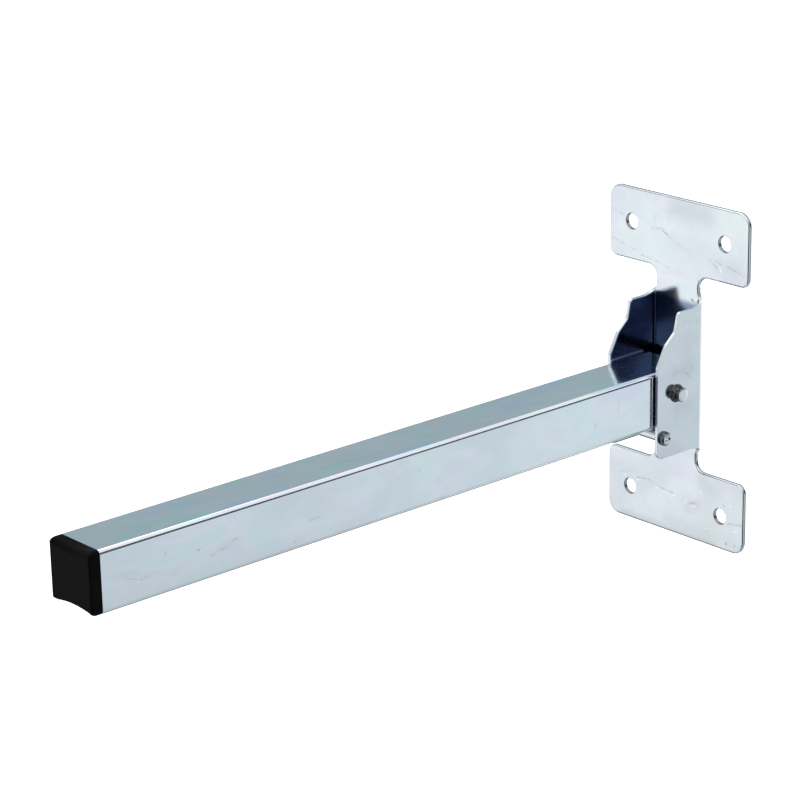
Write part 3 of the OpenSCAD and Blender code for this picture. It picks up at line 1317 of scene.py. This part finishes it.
def dress(node: str, finish: bpy.types.Material) -> None:
    """Gives a CAD node its finish.

    Args:
        node: The node's name.
        finish: Its material.
    """
    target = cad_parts[node]
    target.data.materials.clear()
    target.data.materials.append(finish)
    LOG.info("%s dressed as %s", node, finish.name)


@dataclass(frozen=True)
class Patch:
    """A patch of the surroundings: the way to it, and the cosines where it starts and is full."""

    way: Point
    start: float
    full: float
    colour: Colour


PATCHES = (
    Patch((0.95, -0.05, -0.30), 0.78, 0.95, (1.3, 1.3, 1.25)),
    Patch((-0.60, 0.73, 0.33), 0.95, 0.985, (0.36, 0.38, 0.40)),
    Patch((0.61, 0.71, 0.34), 0.84, 0.93, (0.372, 0.469, 0.494)),
    Patch((0.40, 0.71, -0.58), 0.66, 0.85, (0.10, 0.11, 0.13)),
    Patch((0.63, -0.72, 0.29), 0.88, 0.96, (0.07, 0.08, 0.11)),
    Patch((-0.625, -0.712, -0.32), 0.78, 0.90, (0.016, 0.022, 0.058)),
    Patch((0.63, -0.27, 0.72), 0.84, 0.93, (0.04, 0.04, 0.03)),
)


@dataclass
class Studio:
    """Plain surroundings for the metal to mirror, a white floor and soft lamps."""

    floor_drop: float = 0.45
    floor_side: float = 16.0
    floor_glow: float = 0.6
    right_table: Colour = (0.765, 0.835, 0.87)
    left_table: Colour = (1.16, 1.18, 1.19)
    horizon: Colour = (0.62, 0.66, 0.69)
    ceiling: Colour = (1.2, 1.2, 1.2)
    right_front: Point = (-0.66, -0.75, 0.0)
    left_front: Point = (-0.66, 0.75, 0.0)

    def build(self) -> None:
        """Makes the world, the floor and the lamps."""
        self._world()
        self._floor()
        self._lamp("overhead", (0.9, -0.45, 1.25), (-0.05, 0.0, 0.0), 1.7, 8.8)
        self._lamp("back_fill", (0.6, 1.1, 2.2), (-0.1, 0.0, 0.0), 1.2, 8.0)

    def _world(self) -> None:
        """The surroundings: white to the camera, and a table, horizon, ceiling and patches to the object."""
        world = bpy.data.worlds.new("studio_world")
        bpy.context.scene.world = world
        world.use_nodes = True
        make = NodeMaker(world.node_tree)
        way = make.wire(make.add("ShaderNodeTexCoord", {}, {}), "Generated")
        _, _, up = make.axes(way)
        right = make.vector("DOT_PRODUCT", way, self.right_front, "Value")
        left = make.vector("DOT_PRODUCT", way, self.left_front, "Value")
        table = make.mix(left.ramp(-0.5, 0.2), self.right_table, self.left_table)
        table = make.mix(up.ramp(-0.34, -0.40) * 0.27, table, (0.0, 0.0, 0.0))
        closer = left.ramp(0.1, 0.6) * 0.20
        above = up + closer - right.ramp(-0.45, -0.8) * 0.12 - left.ramp(-0.1, -0.5) * 0.06
        colour = make.mix((up - closer).ramp(0.0, -0.14), self.horizon, table)
        colour = make.mix(above.ramp(0.50, 0.78), colour, self.ceiling)
        for patch in PATCHES:
            near = make.vector("DOT_PRODUCT", way, patch.way, "Value")
            colour = make.mix(near.ramp(patch.start, patch.full), colour, patch.colour)
        seen = make.wire(make.add("ShaderNodeLightPath", {}, {}), "Is Camera Ray")
        shown = make.mix(seen, colour, (1.0, 1.0, 1.0))
        back = make.add("ShaderNodeBackground", {}, {"Color": shown, "Strength": 1.0})
        make.add("ShaderNodeOutputWorld", {}, {"Surface": back.outputs[0]})

    def _floor(self) -> None:
        """A plain white floor, well below the part, which is held by its plate."""
        half = self.floor_side / 2
        mesh = bpy.data.meshes.new("floor")
        spots = [(a * half, b * half, -self.floor_drop) for a, b in ((-1, -1), (1, -1), (1, 1), (-1, 1))]
        mesh.from_pydata(spots, [], [(0, 1, 2, 3)])
        floor = bpy.data.objects.new("floor", mesh)
        bpy.context.scene.collection.objects.link(floor)
        floor.visible_glossy = False
        material = bpy.data.materials.new("floor_white")
        material.use_nodes = True
        make = NodeMaker(material.node_tree)
        matt = make.add("ShaderNodeBsdfDiffuse", {}, {"Color": (0.8, 0.8, 0.8, 1.0)})
        seen = make.wire(make.add("ShaderNodeLightPath", {}, {}), "Is Camera Ray")
        white = (1.0, 1.0, 1.0, 1.0)
        glow = make.add("ShaderNodeEmission", {}, {"Color": white, "Strength": seen * self.floor_glow})
        both = make.add("ShaderNodeAddShader", {}, {0: matt.outputs[0], 1: glow.outputs[0]})
        make.add("ShaderNodeOutputMaterial", {}, {"Surface": both.outputs[0]})
        mesh.materials.append(material)

    def _lamp(self, name: str, spot: Point, aim: Point, side: float, power: float) -> None:
        """Adds a square soft lamp.

        Args:
            name: Its name.
            spot: Where it stands, in metres.
            aim: The point it faces.
            side: Its side, in metres.
            power: Its power, in watts.
        """
        light = bpy.data.lights.new(name, "AREA")
        light.shape = "SQUARE"
        light.size = side
        light.energy = power
        lamp = bpy.data.objects.new(name, light)
        bpy.context.scene.collection.objects.link(lamp)
        lamp.location = spot
        lamp.rotation_euler = (Vector(aim) - Vector(spot)).to_track_quat("-Z", "Y").to_euler()


@dataclass
class PhotoCamera:
    """The photograph's camera, solved from the plate, the tube and the screw holes."""

    azimuth: float = -41.2595
    elevation: float = 18.6355
    roll: float = -1.1285
    focal_px: float = 2825.81
    frame_px: float = 800.0
    spot: Point = (-0.854636, -0.791487, 0.378619)

    def build(self) -> None:
        """Makes the camera and gives it to the scene."""
        data = bpy.data.cameras.new("photo_camera")
        data.sensor_width = 36.0
        data.lens = self.focal_px / self.frame_px * data.sensor_width
        data.clip_end = 60.0
        camera = bpy.data.objects.new("photo_camera", data)
        bpy.context.scene.collection.objects.link(camera)
        camera.matrix_world = self.pose()
        bpy.context.scene.camera = camera

    def pose(self) -> Matrix:
        """Where the camera stands and how it is turned.

        Returns:
            Its matrix.
        """
        turn, tilt, roll = (math.radians(a) for a in (self.azimuth, self.elevation, self.roll))
        back = Vector((math.sin(turn) * math.cos(tilt), -math.cos(turn) * math.cos(tilt), math.sin(tilt)))
        right = Vector((0, 0, 1)).cross(back).normalized()
        up = back.cross(right)
        columns = (
            right * math.cos(roll) + up * math.sin(roll),
            up * math.cos(roll) - right * math.sin(roll),
            back,
        )
        turned = Matrix(columns).transposed().to_4x4()
        return Matrix.Translation(self.spot) @ turned


def main() -> None:
    """Builds the light, the camera, the finishes and the pieces, in that order."""
    logging.basicConfig(level=logging.INFO, format="%(name)s: %(message)s")
    bpy.context.scene.view_settings.view_transform = "Standard"
    PhotoCamera().build()
    Studio().build()
    sheet_wear = Wear(SHEET_SCUFFS, SHEET_PAINTED_GLINTS, SHEET_SHADE_LINES, SHEET_PATCHES)
    sheet = FoldedZinc("bright_zinc_sheet", TINT, 0.14, wave=0.01, wear=sheet_wear).build()
    # The cut edges are one steel in two painted tones: the ears' edges painted light, the plate's edges
    # painted shade.
    lit_ear_edge = BrightZinc("bright_zinc_ear_edge", (0.84, 0.87, 0.89), 0.38).build()
    shaded_plate_edge = BrightZinc("bright_zinc_plate_edge", (0.34, 0.35, 0.36), 0.20).build()
    tube_wear = Wear(TUBE_SCUFFS)
    tube = DrawnZinc("bright_zinc_tube", TUBE_TINT, 0.12, (0.5, 1.0, 1.0), film=1.15, wear=tube_wear).build()
    steel = HeadSteel("bright_zinc_steel", TINT, 0.20).build()
    plastic = MouldedPlastic("black_moulding", (0.0022, 0.0022, 0.0022), 0.5).build()
    Bracket().build(sheet, lit_ear_edge, shaded_plate_edge)
    dress("leg_tube", tube)
    FootCap().build(plastic)
    PIVOT_RIVET.build(steel)
    STOP_PIN.build(steel)
    for node in ("pivot_sleeve", "near_washer", "far_washer"):
        dress(node, steel)


if __name__ == "__main__":
    main()
